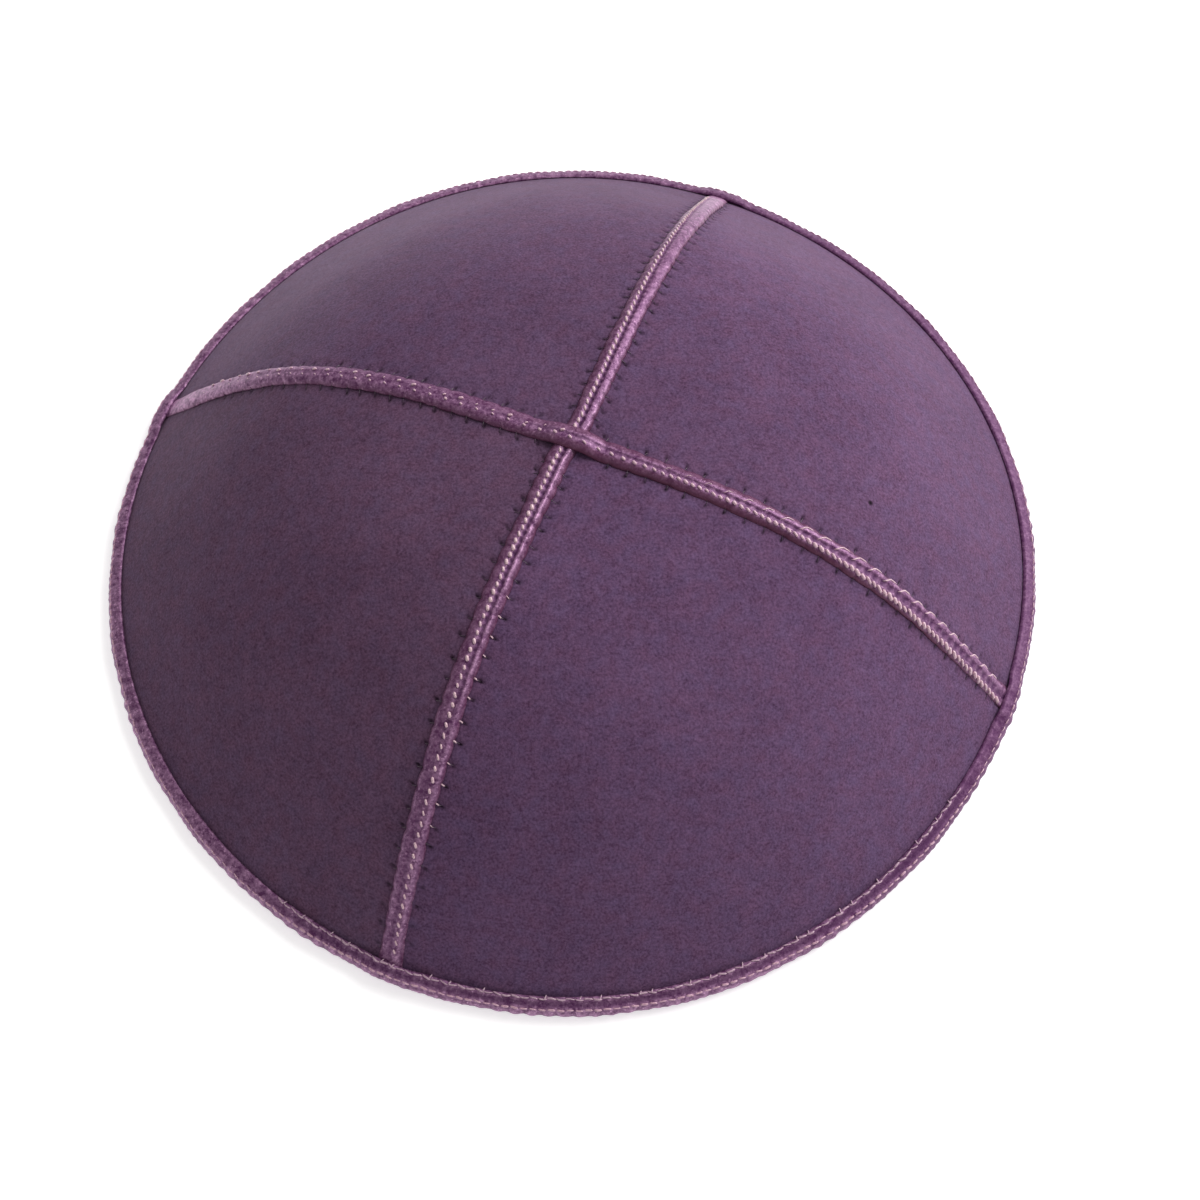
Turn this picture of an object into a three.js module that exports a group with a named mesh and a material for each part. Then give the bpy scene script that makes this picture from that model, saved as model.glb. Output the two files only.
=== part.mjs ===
// A kippah sewn from four suede panels: a shallow dome, two narrow leather strips that
// cross over its seams, and a leather binding folded round its rim.
// Millimetres, +Z up. The rim rests on z = 0 and the crown stands above the origin.
import * as THREE from "three";

const { degToRad, smoothstep, lerp } = THREE.MathUtils;

// The dome
const RIM_RADIUS = 84; // outer face of the suede at its cut edge
const RIM_SLOPE = degToRad(46); // how steeply the wall comes down at the rim
const SLOPE_REACH = 0.87; // share of the way down at which the wall gets that steep
const CROWN_SOFTNESS = 2.46; // a higher power keeps the crown flat further out
const CREASE = 0.1; // half way down, the share by which level sections lean from circle to square
const PROFILE_STEPS = 200;

// The materials' thicknesses, and the clearance that is left between neighbours
const SUEDE = 1.2;
const LEATHER = 0.9;
const GAP = 0.3;

// Where each seam meets the rim, in degrees anticlockwise from +X as seen from above,
// and how many degrees it bows to the side half way up.
const seams = [
  { azimuth: 69.3, bow: -1.1 },
  { azimuth: 159.5, bow: -0.5 },
  { azimuth: 249.5, bow: -2 },
  { azimuth: 338.2, bow: -0.2 },
];

// A hand-sewn rim isn't a true circle. Each row is a wave round it: its number of crests,
// its height as a share of the radius, and the azimuth of one crest in degrees.
const rimWaves = [
  { crests: 2, height: 0.012, azimuth: 80 },
  { crests: 4, height: 0.0049, azimuth: 5.5 },
];

// The panels, each named for where it lies as seen from above, from one seam to the next
const panels = [
  { name: "panel_back", firstSeam: 0 },
  { name: "panel_left", firstSeam: 1 },
  { name: "panel_front", firstSeam: 2 },
  { name: "panel_right", firstSeam: 3 },
];
const PANEL_TIP_RADIUS = 1.2; // the tips stop short of each other under the crossed strips
const PANEL_COLUMNS = 16;
const PANEL_ROWS = 14;

// Section of a seam strip: two stitched ridges with a groove between them and rolled edges
const stripSection = [
  { across: -2.1, rise: 0 },
  { across: 2.1, rise: 0 },
  { across: 2.1, rise: 0.5 },
  { across: 1.5, rise: 0.85 },
  { across: 0.8, rise: LEATHER },
  { across: 0, rise: 0.7 },
  { across: -0.8, rise: LEATHER },
  { across: -1.5, rise: 0.85 },
  { across: -2.1, rise: 0.5 },
];
const STRIP_HALF_WIDTH = 2.1;
const STRIP_STEPS = 26; // from the crown to the rim
const STRIP_SHORT = 0.5; // how far a strip's end stays back from the suede's cut edge
const SKIVED = 0.3; // the thickness that a strip is pared to at its ends, under the binding
const SKIVE_LENGTH = 9; // the stretch before the binding in which it gets that thin
const HUMP_LENGTH = 4.5; // how far from a covered strip's edge the layer over it settles again

// The binding: a folded strip with a leg on each face of the suede and a round nose below
const OUTER_LEG = 2.2;
const INNER_LEG = 2.2;
const NOSE_DEPTH = 1.6; // how far the fold stands out past the cut edge
const NOSE_STEPS = 10;
const REST_FLAT = 0.25; // how much of the nose is pressed flat where it rests
const BINDING_STEPS = 22; // between the humps over two strips' ends

const noseHalf = SUEDE / 2 + GAP + LEATHER;
const noseReach = Math.hypot(NOSE_DEPTH * Math.sin(RIM_SLOPE), noseHalf * Math.cos(RIM_SLOPE));
const EDGE_HEIGHT = noseReach + (SUEDE / 2) * Math.cos(RIM_SLOPE) - REST_FLAT;

const suede = () => new THREE.MeshStandardMaterial({ color: 0x5a4560, roughness: 0.95 });
const leather = () => new THREE.MeshStandardMaterial({ color: 0x7a4a86, roughness: 0.4 });

// The wall's profile: short steps whose slope grows from level at the crown to RIM_SLOPE,
// summed and scaled so that the last one ends at the rim.
function wallProfile() {
  const rows = [{ out: 0, drop: 0 }];
  for (let step = 0; step < PROFILE_STEPS; step += 1) {
    const share = (step + 0.5) / PROFILE_STEPS;
    const turn = (Math.PI / 2) * Math.min(share / SLOPE_REACH, 1);
    const slope = RIM_SLOPE * Math.sin(turn) ** CROWN_SOFTNESS;
    const last = rows[step];
    rows.push({ out: last.out + Math.cos(slope), drop: last.drop + Math.sin(slope) });
  }
  const scale = 1 / rows[PROFILE_STEPS].out;
  return rows.map(({ out, drop }) => ({ out: out * scale, drop: drop * scale * RIM_RADIUS }));
}

const profile = wallProfile();
const DOME_RISE = profile[PROFILE_STEPS].drop;

// Height of the wall's outer face at a share of the way out from crown to rim
function profileHeight(reach) {
  const next = profile.findIndex(({ out }) => out >= reach);
  const last = next < 0 ? PROFILE_STEPS : Math.max(next, 1);
  const before = profile[last - 1];
  const after = profile[last];
  const share = (reach - before.out) / (after.out - before.out);
  return EDGE_HEIGHT + DOME_RISE - lerp(before.drop, after.drop, share);
}

// The rim's distance from the axis at an azimuth
function rimRadius(azimuth) {
  const waves = rimWaves.map(
    ({ crests, height, azimuth: crest }) => height * Math.cos(crests * (azimuth - degToRad(crest))),
  );
  return RIM_RADIUS * waves.reduce((sum, wave) => sum + wave, 1);
}

function seamAzimuth(index, reach) {
  const { azimuth, bow } = seams[index % seams.length];
  const turns = index >= seams.length ? 360 : 0;
  return degToRad(azimuth + turns + bow * 4 * reach * (1 - reach));
}

// A level section of the dome lies between a circle and a square with its corners on the
// seams. This is the square's distance from the axis, as a share of its corners'.
function squareReach(azimuth, reach) {
  const starts = seams.map((_, index) => seamAzimuth(index, reach));
  const fromFirst = THREE.MathUtils.euclideanModulo(azimuth - starts[0], 2 * Math.PI);
  const offsets = [...starts.map((start) => start - starts[0]), 2 * Math.PI];
  const after = Math.max(offsets.findIndex((offset) => offset > fromFirst), 1);
  const share = (fromFirst - offsets[after - 1]) / (offsets[after] - offsets[after - 1]);
  const toMiddle = Math.PI / 4 - (Math.PI / 2) * Math.min(share, 1 - share);
  return Math.SQRT1_2 / Math.cos(toMiddle);
}

function wallHeight(x, y) {
  const azimuth = Math.atan2(y, x);
  const reach = Math.hypot(x, y) / rimRadius(azimuth);
  const lean = CREASE * Math.sin(Math.PI * Math.min(reach, 1)) ** 2;
  return profileHeight(reach / (1 - lean * (1 - squareReach(azimuth, reach))));
}

// The point at a distance off the suede's outer face, square to it, over a point in plan
function offWall(x, y, off) {
  const step = 0.05;
  const normal = new THREE.Vector3(
    (wallHeight(x - step, y) - wallHeight(x + step, y)) / (2 * step),
    (wallHeight(x, y - step) - wallHeight(x, y + step)) / (2 * step),
    1,
  ).normalize();
  return normal.multiplyScalar(off).add(new THREE.Vector3(x, y, wallHeight(x, y)));
}

// A closed solid through a row of sections, each a ring of points in the same order.
// A ring of sections needs no ends. A row of them is closed by its flat outline.
function loft(sections, outline) {
  const size = sections[0].length;
  const rows = outline ? sections.length - 1 : sections.length;
  const faces = [];
  for (let row = 0; row < rows; row += 1) {
    const here = row * size;
    const there = ((row + 1) % sections.length) * size;
    for (let i = 0; i < size; i += 1) {
      const j = (i + 1) % size;
      faces.push(here + i, there + i, there + j, here + i, there + j, here + j);
    }
  }
  if (outline) {
    const last = rows * size;
    THREE.ShapeUtils.triangulateShape(outline, []).forEach(([a, b, c]) => {
      faces.push(a, b, c, last + a, last + c, last + b);
    });
  }
  const geometry = new THREE.BufferGeometry().setFromPoints(sections.flat());
  geometry.setIndex(faces);
  geometry.computeVertexNormals();
  return geometry;
}

// 0 to 1 in even steps, both ends included
function evenShares(steps) {
  return Array.from({ length: steps + 1 }, (_, step) => step / steps);
}

function mesh(name, geometry, material) {
  const made = new THREE.Mesh(geometry, material);
  made.name = name;
  return made;
}

// One gore of suede: its sections run from crown to rim on the outer face and back on the
// inner one, and follow each other from one seam to the next.
function panel({ name, firstSeam }) {
  const tip = PANEL_TIP_RADIUS / RIM_RADIUS;
  const reaches = evenShares(PANEL_ROWS).map((share) => lerp(tip, 1, share));
  const sections = evenShares(PANEL_COLUMNS).map((share) => {
    const face = (off) =>
      reaches.map((reach) => {
        const clearance = Math.asin(GAP / 2 / (reach * RIM_RADIUS));
        const from = seamAzimuth(firstSeam, reach) + clearance;
        const to = seamAzimuth(firstSeam + 1, reach) - clearance;
        const azimuth = lerp(from, to, share);
        const radius = reach * rimRadius(azimuth);
        return offWall(radius * Math.cos(azimuth), radius * Math.sin(azimuth), off);
      });
    return [...face(-SUEDE), ...face(0).reverse()];
  });
  const outline = sections[0].map(({ x, y, z }) => new THREE.Vector2(Math.hypot(x, y), z));
  return mesh(name, loft(sections, outline), suede());
}

// Where a strip's middle lies in plan, from -1 at one rim through the crown to 1 at the other
function stripMiddle(firstSeam, along) {
  const reach = Math.abs(along);
  const azimuth = seamAzimuth(along < 0 ? firstSeam : firstSeam + 2, reach);
  return new THREE.Vector2(Math.cos(azimuth), Math.sin(azimuth)).multiplyScalar(
    reach * rimRadius(azimuth),
  );
}

// How far a layer is raised by a strip under it, at a distance from that strip's middle
function humpOver(distance, thickness) {
  const edge = STRIP_HALF_WIDTH + GAP;
  return (thickness + GAP) * (1 - smoothstep(distance, edge, edge + HUMP_LENGTH));
}

// One strip from rim to rim over two opposite seams. The upper one humps over the other.
function seamStrip(name, firstSeam, upper) {
  const outline = stripSection.map(({ across, rise }) => new THREE.Vector2(across, rise));
  const sections = evenShares(2 * STRIP_STEPS).map((share) => {
    // the steps get shorter towards the crown, where the upper strip bends over the lower
    const even = 2 * share - 1;
    const along = Math.sign(even) * Math.abs(even) ** 1.4 * (1 - STRIP_SHORT / RIM_RADIUS);
    const middle = stripMiddle(firstSeam, along);
    const ahead = stripMiddle(firstSeam, along + 0.01).sub(stripMiddle(firstSeam, along - 0.01));
    const side = new THREE.Vector2(ahead.y, -ahead.x).normalize();
    const lift = GAP + (upper ? humpOver(middle.length(), LEATHER) : 0);
    const covered = RIM_RADIUS - OUTER_LEG;
    const pared = smoothstep(middle.length(), covered - SKIVE_LENGTH, covered);
    const thickness = lerp(1, SKIVED / LEATHER, pared);
    return stripSection.map(({ across, rise }) =>
      offWall(middle.x + side.x * across, middle.y + side.y * across, lift + rise * thickness),
    );
  });
  return mesh(name, loft(sections, outline), leather());
}

// The binding's section at an azimuth. Its points are placed by how far they lie past the
// suede's cut edge along the wall, and how far off the wall's outer face.
function bindingSection(azimuth, lift) {
  const outer = GAP + lift;
  const inner = -SUEDE - GAP;
  const middle = (lift - SUEDE) / 2;
  const half = noseHalf + lift / 2;
  const nose = evenShares(NOSE_STEPS).map((share) => ({
    past: NOSE_DEPTH * Math.sin(Math.PI * share),
    off: middle - half * Math.cos(Math.PI * share),
  }));
  const rows = [
    { past: GAP, off: outer },
    { past: GAP, off: inner },
    { past: -INNER_LEG, off: inner },
    { past: -INNER_LEG, off: inner - LEATHER },
    ...nose,
    { past: LEATHER / 2 - OUTER_LEG, off: outer + LEATHER },
    { past: -OUTER_LEG, off: outer + LEATHER / 2 },
    { past: -OUTER_LEG, off: outer },
  ];
  return rows.map(({ past, off }) => {
    const out = past * Math.cos(RIM_SLOPE) + off * Math.sin(RIM_SLOPE);
    const up = off * Math.cos(RIM_SLOPE) - past * Math.sin(RIM_SLOPE);
    const radius = rimRadius(azimuth) + out;
    const height = Math.max(EDGE_HEIGHT + up, 0);
    return new THREE.Vector3(radius * Math.cos(azimuth), radius * Math.sin(azimuth), height);
  });
}

// The folded binding all the way round, with a hump over each strip's end
function binding() {
  const humpEdge = STRIP_HALF_WIDTH + GAP;
  const humpHalfway = humpEdge + HUMP_LENGTH / 2;
  const humpEnd = humpEdge + HUMP_LENGTH;
  const near = [-humpEdge, 0, humpEdge, humpHalfway];
  const columns = seams.flatMap((_, index) => {
    const start = seamAzimuth(index, 1) * RIM_RADIUS;
    const end = seamAzimuth(index + 1, 1) * RIM_RADIUS;
    const far = evenShares(BINDING_STEPS).map((share) =>
      lerp(start + humpEnd, end - humpEnd, share),
    );
    return [
      ...near.map((offset) => ({ at: start + offset, lift: humpOver(Math.abs(offset), SKIVED) })),
      ...far.map((at) => ({ at, lift: 0 })),
      { at: end - humpHalfway, lift: humpOver(humpHalfway, SKIVED) },
    ];
  });
  const sections = columns.map(({ at, lift }) => bindingSection(at / RIM_RADIUS, lift));
  return mesh("rim_binding", loft(sections), leather());
}

const kippah = new THREE.Group();
kippah.name = "kippah";
kippah.add(...panels.map(panel));
kippah.add(seamStrip("seam_strip_under", 0, false));
kippah.add(seamStrip("seam_strip_over", 1, true));
kippah.add(binding());

export default kippah;
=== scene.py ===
# %% [markdown]
# # A suede kippah, dressed piece by piece
# The measured model gives this kippah as plain solids: four suede panels, two leather
# strips crossed over the seams, and a leather binding folded round the rim. This lesson
# replaces each of them by a finely worked surface in the same place, sews on the thread,
# and mixes a finish for each material. A shape here is a formula on a grid of numbers,
# so that every dimple and stitch can be traced back to a size with a name.

import bpy
import numpy as np
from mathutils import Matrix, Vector


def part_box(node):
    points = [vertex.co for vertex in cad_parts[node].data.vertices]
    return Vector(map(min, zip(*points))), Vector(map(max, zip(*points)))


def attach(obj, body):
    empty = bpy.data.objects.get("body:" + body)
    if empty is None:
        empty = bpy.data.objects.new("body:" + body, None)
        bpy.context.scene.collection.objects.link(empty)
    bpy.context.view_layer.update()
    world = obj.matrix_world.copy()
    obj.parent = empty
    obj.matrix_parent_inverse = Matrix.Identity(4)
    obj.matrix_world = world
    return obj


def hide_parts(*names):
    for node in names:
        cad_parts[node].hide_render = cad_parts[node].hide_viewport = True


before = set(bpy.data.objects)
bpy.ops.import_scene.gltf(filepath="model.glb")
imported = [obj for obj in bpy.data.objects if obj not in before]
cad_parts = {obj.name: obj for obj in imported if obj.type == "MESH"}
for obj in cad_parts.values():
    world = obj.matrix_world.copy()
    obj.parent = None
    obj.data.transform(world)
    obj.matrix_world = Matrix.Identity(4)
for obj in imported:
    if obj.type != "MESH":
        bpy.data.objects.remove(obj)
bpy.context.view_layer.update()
MM = 0.001  # the sizes below are in millimetres, and Blender's unit is the metre
print("pieces to dress:", ", ".join(sorted(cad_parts)))

# %% [markdown]
# ## The camera
# The photograph was taken from in front and well above, with the kippah lying on its
# rim. The view axis passes just in front of the middle of the rim. A camera is turned by
# its angle from looking straight down, so an elevation above the floor becomes a tilt of
# 90 degrees less that elevation.

# %% Set up the camera
CAMERA_ELEVATION = np.radians(63.64)
CAMERA_DISTANCE = 365.5
CAMERA_AIM = np.array([4.9, -7.6, -3.8])
CAMERA_LENS = 59.5
CAMERA_SENSOR = 36  # the sensor's width, for a square picture

camera = bpy.data.objects.new("camera", bpy.data.cameras.new("camera"))
bpy.context.collection.objects.link(camera)
towards_camera = np.array([0, -np.cos(CAMERA_ELEVATION), np.sin(CAMERA_ELEVATION)])
camera.location = Vector((CAMERA_AIM + CAMERA_DISTANCE * towards_camera) * MM)
camera.rotation_euler = (np.pi / 2 - CAMERA_ELEVATION, 0, 0)
camera.data.lens = CAMERA_LENS
camera.data.sensor_width = CAMERA_SENSOR
camera.data.clip_start = 0.01
bpy.context.scene.camera = camera
print("camera at", [round(c, 4) for c in camera.location])

# %% [markdown]
# ## The dome as a formula
# Sewn from four gores, the dome is steep and straight towards its rim and nearly flat at
# the crown. Its profile is best told by its slope, which grows smoothly from level to
# 46 degrees, so summing small steps of that slope draws the curve. Seen from above, the
# seams aren't quite a quarter turn apart and some bow a little, and the suede between
# them pulls flatter, as it does on any cap made of panels.

# %% The dome's sizes and its profile
RIM_RADIUS = 84.0
RIM_SLOPE = np.radians(46)
SLOPE_REACH = 0.87  # the share of the wall's length where it comes to its full slope
CROWN_SOFTNESS = 2.46  # the higher, the flatter the crown
CREASE = 0.1  # how far a level section leans from a circle towards a square
SUEDE = 1.2  # the suede's thickness
EDGE_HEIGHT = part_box("panel_back")[0].z / MM + SUEDE * np.cos(RIM_SLOPE)  # the outer face's
SEAMS = {"azimuth": [69.3, 159.5, 249.5, 338.2], "bow": [-1.1, -0.5, -2.0, -0.2]}
RIM_WAVES = {"crests": [2, 4], "height": [0.012, 0.0049], "azimuth": [80, 5.5]}


def wall_profile(steps=4000):
    """Unit steps with slope RIM_SLOPE * sin(90 deg * min(share / SLOPE_REACH, 1)) ** softness
    are summed outwards and downwards, and scaled to end at the rim. The last row goes on
    straight past the rim. Returns each step's reach (1 at the rim), drop and length."""
    share = (np.arange(steps) + 0.5) / steps
    turn = np.pi / 2 * np.minimum(share / SLOPE_REACH, 1)
    slope = RIM_SLOPE * np.sin(turn) ** CROWN_SOFTNESS
    scale = RIM_RADIUS / np.cos(slope).sum()
    reach = np.cumsum(np.cos(slope)) * scale / RIM_RADIUS
    drop = np.cumsum(np.sin(slope)) * scale
    past_rim = 0.2  # of the rim's radius
    reach = np.concatenate([[0], reach, [1 + past_rim]])
    drop = np.concatenate([[0], drop, [drop[-1] + past_rim * RIM_RADIUS * np.tan(RIM_SLOPE)]])
    length = np.concatenate([np.arange(steps + 1) * scale, [steps * scale + 1e3]])
    return reach, drop, length


PROFILE_REACH, PROFILE_DROP, PROFILE_LENGTH = wall_profile()
WALL_LENGTH = PROFILE_LENGTH[-2]
DOME_RISE = PROFILE_DROP[-2]
print(f"the wall is {WALL_LENGTH:.1f} mm from crown to edge and rises {DOME_RISE:.1f} mm")


# %% [markdown]
# A few small functions turn the profile into a whole surface. Each works on whole arrays.
# The one named `off_wall` is what the suede, the strips and their stitches are made with:
# it steps a given distance off the suede's outer face, square to it, over any point of
# the plan.

# %% The dome's surface
def rim_radius(azimuth):
    """RIM_RADIUS * (1 + the sum of height * cos(crests * (azimuth - crest's azimuth)))."""
    radius = np.ones_like(azimuth)
    for crests, height, crest in zip(*RIM_WAVES.values()):
        radius = radius + height * np.cos(crests * (azimuth - np.radians(crest)))
    return RIM_RADIUS * radius


def seam_azimuth(index, reach):
    """A seam's azimuth, with a bow of 4 * reach * (1 - reach) times its greatest."""
    turns, index = divmod(index, 4)
    bow = SEAMS["bow"][index] * 4 * reach * (1 - reach)
    return np.radians(SEAMS["azimuth"][index] + 360 * turns + bow)


def across_panel(azimuth, reach):
    """How far an azimuth lies across its panel: 0 at one seam, 1 at the next."""
    first = seam_azimuth(0, reach)
    turned = np.mod(azimuth - first, 2 * np.pi)
    marks = [seam_azimuth(index, reach) - first for index in range(5)]
    pairs = list(zip(marks, marks[1:]))
    inside = [(turned >= low) & (turned <= high) for low, high in pairs]
    return np.select(inside, [(turned - low) / (high - low) for low, high in pairs])


def wall_height(x, y):
    """Height of the outer face over a point of the plan. A level section leans from a
    circle towards a square with its corners on the seams, most half way down."""
    azimuth = np.arctan2(y, x)
    reach = np.hypot(x, y) / rim_radius(azimuth)
    share = across_panel(azimuth, reach)
    to_middle = np.pi / 4 - np.pi / 2 * np.minimum(share, 1 - share)
    square = np.sqrt(0.5) / np.cos(to_middle)
    lean = CREASE * np.sin(np.pi * np.minimum(reach, 1)) ** 2
    drop = np.interp(reach / (1 - lean * (1 - square)), PROFILE_REACH, PROFILE_DROP)
    return EDGE_HEIGHT + DOME_RISE - drop


# %% Step off the dome's surface
def off_wall(x, y, off):
    """The point over x, y on the outer face, moved by off along the face's normal, which
    is (-dz/dx, -dz/dy, 1) made one long."""
    step = 0.08
    slope_x = (wall_height(x + step, y) - wall_height(x - step, y)) / (2 * step)
    slope_y = (wall_height(x, y + step) - wall_height(x, y - step)) / (2 * step)
    away = off / np.sqrt(slope_x**2 + slope_y**2 + 1)
    return np.stack([x - away * slope_x, y - away * slope_y, wall_height(x, y) + away], -1)


def reach_at(distance):
    """The reach at a distance down the wall from the crown."""
    return np.interp(distance, PROFILE_LENGTH, PROFILE_REACH)


def smoothstep(value, low, high):
    """0 up to low, 1 from high, and 3 t^2 - 2 t^3 between."""
    t = np.clip((value - low) / (high - low), 0, 1)
    return t * t * (3 - 2 * t)


measured = np.array([v.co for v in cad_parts["panel_front"].data.vertices]) / MM
gap_off = measured[:, 2] - wall_height(measured[:, 0], measured[:, 1])
print(f"the measured panel lies {gap_off.max():.2f} to {gap_off.min():.2f} mm off the formula")


# %% [markdown]
# ## From grids to pieces
# A grid of points becomes a mesh by joining each point to its neighbours. Two ways of
# joining are enough for all but the binding: a *shell*, which is an outer and an inner
# grid closed along their borders, and *tubes*, which are rows of rings closed at the ends
# by a middle point. The binding's rings run round in a circle, so they are joined in its
# own cell. Where the enclosed volume comes out negative the faces look inwards, and all
# of them are turned.

# %% Make pieces from grids
def fused(name, points, quads, triangles=(), numbers=None):
    """A smooth-shaded piece from points in millimetres, with one number a point in each
    named attribute. Its volume is the sum over the triangles of a . (b x c) / 6."""
    corners = points[quads]
    halves = [corners[:, [0, 1, 2]], corners[:, [0, 2, 3]]]
    if len(triangles):
        halves.append(points[triangles])
    thirds = np.concatenate(halves)
    volume = np.einsum("ij,ij->i", thirds[:, 0], np.cross(thirds[:, 1], thirds[:, 2])).sum() / 6
    if volume < 0:
        quads = quads[:, ::-1]
        triangles = triangles[:, ::-1] if len(triangles) else triangles
    mesh = bpy.data.meshes.new(name)
    mesh.from_pydata(points * MM, [], quads.tolist() + [list(t) for t in triangles])
    mesh.shade_smooth()
    for key, values in (numbers or {}).items():
        attribute = mesh.attributes.new(key, "FLOAT", "POINT")
        attribute.data.foreach_set("value", values.astype(np.float32).ravel())
    mesh.validate()
    piece = bpy.data.objects.new(name, mesh)
    bpy.context.collection.objects.link(piece)
    count = 2 * len(quads) + len(triangles)
    print(f"{name}: {count} triangles, {abs(volume) / 1000:.2f} cm3")
    return piece


def shell(name, outer, inner, numbers=None):
    """A wall between two grids of the same size, closed along their four borders."""
    rows, columns = outer.shape[:2]
    index = np.arange(rows * columns).reshape(rows, columns)
    face = [index[:-1, :-1], index[1:, :-1], index[1:, 1:], index[:-1, 1:]]
    top = np.stack(face, -1).reshape(-1, 4)
    sides = [index[:, 0], index[-1, 1:], index[-2::-1, -1], index[0, -2::-1]]
    border = np.concatenate(sides)
    start, end = border[:-1], border[1:]
    under = rows * columns
    edge = np.stack([end, start, start + under, end + under], -1)
    points = np.concatenate([outer.reshape(-1, 3), inner.reshape(-1, 3)])
    quads = np.concatenate([top, top[:, ::-1] + under, edge])
    return fused(name, points, quads, numbers=numbers)


def tubes(name, rings, numbers=None):
    """Tubes through rings[tube, ring, corner], each closed by its end rings' middles."""
    count, length, corners = rings.shape[:3]
    index = np.arange(count * length * corners).reshape(count, length, corners)
    here, there = index[:, :-1], index[:, 1:]
    walls = [here, there, np.roll(there, -1, 2), np.roll(here, -1, 2)]
    quads = np.stack(walls, -1).reshape(-1, 4)
    pole = index.size + np.arange(count)[:, None] + 0 * index[:, 0]
    first, last = index[:, 0], index[:, -1]
    start = np.stack([first, np.roll(first, -1, 1), pole], -1).reshape(-1, 3)
    end = np.stack([np.roll(last, -1, 1), last, pole + count], -1).reshape(-1, 3)
    poles = np.concatenate([rings[:, 0].mean(1), rings[:, -1].mean(1)])
    points = np.concatenate([rings.reshape(-1, 3), poles])
    if numbers:
        numbers = {
            key: np.concatenate([v.ravel(), v[:, 0].mean(1), v[:, -1].mean(1)])
            for key, v in numbers.items()
        }
    return fused(name, points, quads, np.concatenate([start, end]), numbers)


# %% Give a piece its place
def dressed(piece, material, slot, *nodes):
    """Gives a piece its finish and its place in the frame."""
    piece.data.materials.append(material)
    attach(piece, "root")
    if nodes:
        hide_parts(*nodes)
    return piece


# %% [markdown]
# ## Shader sums written as sums
# A finish is a network of nodes. Written with this small class, a sum in Python becomes
# the Math nodes for it, and one method adds every other kind of node. Colours go through
# the Mix node, because a Math node would turn them grey. That node has a set of sockets
# for each kind of value, with the same names, so its colour sockets go by number.

# %% Write node networks as expressions
MIX_FACTOR, MIX_FIRST, MIX_SECOND, MIX_COLOUR = 0, 6, 7, 2


class Wire:
    """An output socket in a material's node tree."""

    def __init__(self, tree, socket=None):
        self.tree = tree
        self.socket = socket

    def node(self, kind, settings=None, inputs=None, output=0):
        """Adds a node, applies its settings, then sets or links its input sockets."""
        made = self.tree.nodes.new("ShaderNode" + kind)
        for name, value in (settings or {}).items():
            setattr(made, name, value)
        for key, value in (inputs or {}).items():
            if isinstance(value, Wire):
                self.tree.links.new(value.socket, made.inputs[key])
            else:
                made.inputs[key].default_value = value
        return Wire(self.tree, made.outputs[output])

    def sum(self, operation, first, second):
        return self.node("Math", {"operation": operation}, {0: first, 1: second})

    def __add__(self, other):
        return self.sum("ADD", self, other)

    def __radd__(self, other):
        return self.sum("ADD", other, self)

    def __sub__(self, other):
        return self.sum("SUBTRACT", self, other)

    def __rsub__(self, other):
        return self.sum("SUBTRACT", other, self)

    def __mul__(self, other):
        return self.sum("MULTIPLY", self, other)

    def __rmul__(self, other):
        return self.sum("MULTIPLY", other, self)

    def blend(self, first, second):
        """The colour first where this wire is 0 and second where it is 1."""
        settings = {"data_type": "RGBA", "clamp_factor": True}
        inputs = {MIX_FACTOR: self, MIX_FIRST: first, MIX_SECOND: second}
        return self.node("Mix", settings, inputs, MIX_COLOUR)

    def tinted(self, tint):
        """This colour multiplied by another."""
        settings = {"data_type": "RGBA", "blend_type": "MULTIPLY"}
        inputs = {MIX_FACTOR: 1.0, MIX_FIRST: self, MIX_SECOND: tint}
        return self.node("Mix", settings, inputs, MIX_COLOUR)

    def place(self):
        """The point's place in the piece, which is its place in the frame too."""
        return self.node("TexCoord", output="Object")

    def stored(self, name):
        """The number that the piece's points hold under a name."""
        return self.node("Attribute", {"attribute_name": name}, output="Fac")

    def bump(self, strength, depth, relief):
        """A normal tilted by relief, as if 0 to 1 of it stood depth millimetres high."""
        inputs = {"Strength": strength, "Distance": depth * MM, "Height": relief}
        return self.node("Bump", None, inputs)

    def noise(self, size, detail=2.0, roughness=0.5):
        """Cloudy noise on these coordinates, with lumps about size millimetres across."""
        inputs = {"Vector": self, "Scale": 1 / (size * MM), "Detail": detail}
        return self.node("TexNoise", None, {**inputs, "Roughness": roughness})


# %% Make a material
def finish(name, constants, build):
    """A Principled material: constants go straight on its sockets, and build(start) gives
    the wires for what varies over the surface."""
    material = bpy.data.materials.new(name)
    material.use_nodes = True
    shader = material.node_tree.nodes["Principled BSDF"]
    for key, value in constants.items():
        shader.inputs[key].default_value = value
    for key, wire in build(Wire(material.node_tree)).items():
        material.node_tree.links.new(wire.socket, shader.inputs[key])
    return material


# %% [markdown]
# ## Suede
# Suede is the flesh side of a hide, buffed to a short nap. Light scatters in the nap, so
# the surface has no highlight but a soft bloom where it is seen or lit at a slant, which
# is what the sheen layer is for. The nap shows as a fine grain of light and dark fibre
# tips, over cloudier patches where it lies more one way than the other, and the dye has
# taken a little redder here and bluer there. Each gore is tinted a shade lighter or darker
# than the next, partly because its nap was turned a little differently and partly as
# painted light and shade, the left gore, turned from the lamp, darkest and warmest.
# Painted shade darkens the needle holes, the strips' edges and the binding's edge, from a
# number stored on the piece's own points. One tiny speck on the right gore is finer than
# the grid, so it is drawn by the distance from its middle instead.

# %% Finish: suede
SPECK = np.array([50.7, -6.2])  # in plan
SPECK_RADIUS = 0.4
SPECK_FADE = 1.6  # it is gone at this many radii, and fully dark one radius further in
SPECK_PLACE = (*(SPECK * MM), wall_height(*SPECK[:, None])[0] * MM)


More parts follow.
